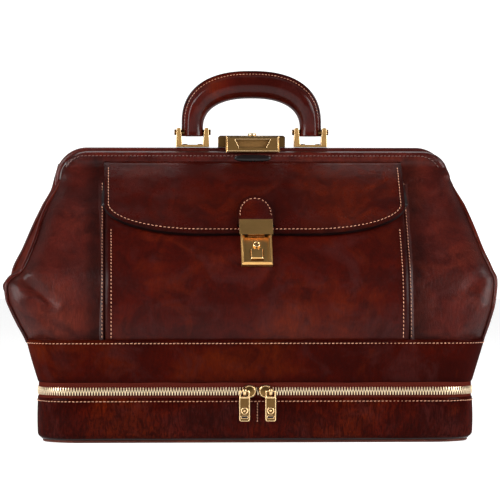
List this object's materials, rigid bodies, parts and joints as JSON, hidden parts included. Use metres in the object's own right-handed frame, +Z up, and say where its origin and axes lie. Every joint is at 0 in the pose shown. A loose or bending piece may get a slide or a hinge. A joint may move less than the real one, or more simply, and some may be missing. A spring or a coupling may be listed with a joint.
{
  "type": "doctor bag",
  "caption": "Polished brown leather doctor bag with a hinged frame mouth, brass locks, a flapped front pocket, a padded top handle and a zipped base compartment.",
  "frame": {"origin": "middle of the base sheet's underside, on the floor", "axes": "+X along the bag's width, +Y towards its back, +Z up; the pocket faces -Y"},
  "size_m": [0.46, 0.2281, 0.3429],
  "materials": {
    "body_leather": "glossy polished, slightly grained",
    "band_leather": "glossy polished",
    "trim_leather": "glossy polished, piped edges",
    "base_leather": "matt, pressed",
    "handle_leather": "glossy, padded",
    "brass": "polished, lightly worn",
    "brass_dark": "satin, aged",
    "steel": "plated",
    "zip_tape": "woven",
    "zip_metal": "pale polished",
    "lining": "woven cotton",
    "board": "pressed fibre board",
    "core": "smooth"
  },
  "bodies": {
    "base_tray": {"tray_shell": "body_leather", "bottom_sheet": "base_leather", "tray_board": "board", "zip_tape_lower": "zip_tape", "zip_teeth_lower": "zip_metal", "hinge_strip": "trim_leather"},
    "slider_left": {"zip_slider_left": "brass"},
    "slider_right": {"zip_slider_right": "brass"},
    "pull_left": {"zip_pull_left": "brass"},
    "pull_right": {"zip_pull_right": "brass"},
    "main_body": {"base_band": "band_leather", "floor_board": "board", "front_panel": "body_leather", "back_panel": "body_leather", "gusset_left": "body_leather", "gusset_right": "body_leather", "back_panel_upper": "body_leather", "gusset_fold_left": "body_leather", "gusset_fold_right": "body_leather", "lining": "lining", "piping_front_left": "trim_leather", "piping_front_right": "trim_leather", "piping_back_left": "trim_leather", "piping_back_right": "trim_leather", "zip_tape_upper": "zip_tape", "zip_teeth_upper": "zip_metal", "pocket_front": "body_leather", "pocket_gusset": "trim_leather", "lock_plate": "brass", "front_frame": "steel", "front_roll": "trim_leather", "strike_plate": "brass", "lock_guard": "trim_leather", "frame_pins": "steel"},
    "rear_half": {"rear_frame": "steel", "rear_roll": "trim_leather", "lock_case": "brass_dark", "handle_bracket_left": "brass", "handle_bracket_right": "brass", "handle_pins": "brass_dark", "bracket_rivets": "brass_dark"},
    "top_lock_slide": {"lock_slide": "brass"},
    "handle": {"handle_core": "core", "handle_leather": "handle_leather"},
    "pocket_flap": {"flap": "body_leather", "flap_tab": "trim_leather", "flap_cap": "brass"},
    "release": {"release_slider": "brass"},
    "key_barrel": {"key_cylinder": "brass_dark"}
  },
  "joints": [
    {"name": "base_zip_hinge", "type": "hinge", "parent": "base_tray", "child": "main_body", "pos_m": [0, 0.107, 0.048], "axis": [-1, 0, 0], "range_deg": [0, 90], "deforming": ["hinge_strip"]},
    {"name": "zip_slide_left", "type": "slide", "parent": "base_tray", "child": "slider_left", "axis": [-1, 0, 0], "range_m": [0, 0.15]},
    {"name": "zip_slide_right", "type": "slide", "parent": "base_tray", "child": "slider_right", "axis": [1, 0, 0], "range_m": [0, 0.15]},
    {"name": "pull_swing_left", "type": "hinge", "parent": "slider_left", "child": "pull_left", "pos_m": [-0.0118, -0.1114, 0.0469], "axis": [-1, 0, 0], "range_deg": [0, 150]},
    {"name": "pull_swing_right", "type": "hinge", "parent": "slider_right", "child": "pull_right", "pos_m": [0.0118, -0.1114, 0.0469], "axis": [-1, 0, 0], "range_deg": [0, 150]},
    {"name": "frame_hinge", "type": "hinge", "parent": "main_body", "child": "rear_half", "pos_m": [0, 0, 0.198], "axis": [-1, 0, 0], "range_deg": [0, 65], "deforming": ["back_panel_upper", "gusset_fold_left", "gusset_fold_right"]},
    {"name": "top_lock_slide", "type": "slide", "parent": "rear_half", "child": "top_lock_slide", "axis": [1, 0, 0], "range_m": [0, 0.006], "stiffness_N_per_m": 150},
    {"name": "handle_swing", "type": "hinge", "parent": "rear_half", "child": "handle", "pos_m": [0, 0.0085, 0.2849], "axis": [-1, 0, 0], "range_deg": [-75, 60]},
    {"name": "flap_hinge", "type": "hinge", "parent": "main_body", "child": "pocket_flap", "pos_m": [0, -0.0185, 0.2543], "axis": [-1, 0, 0], "range_deg": [0, 95]},
    {"name": "release_slide", "type": "slide", "parent": "main_body", "child": "release", "axis": [0, -0.6034, -0.7974], "range_m": [0, 0.0025], "stiffness_N_per_m": 150},
    {"name": "key_turn", "type": "hinge", "parent": "main_body", "child": "key_barrel", "pos_m": [0, -0.0928, 0.17941], "axis": [0, -0.7974, 0.6034], "range_deg": [0, 90]}
  ]
}
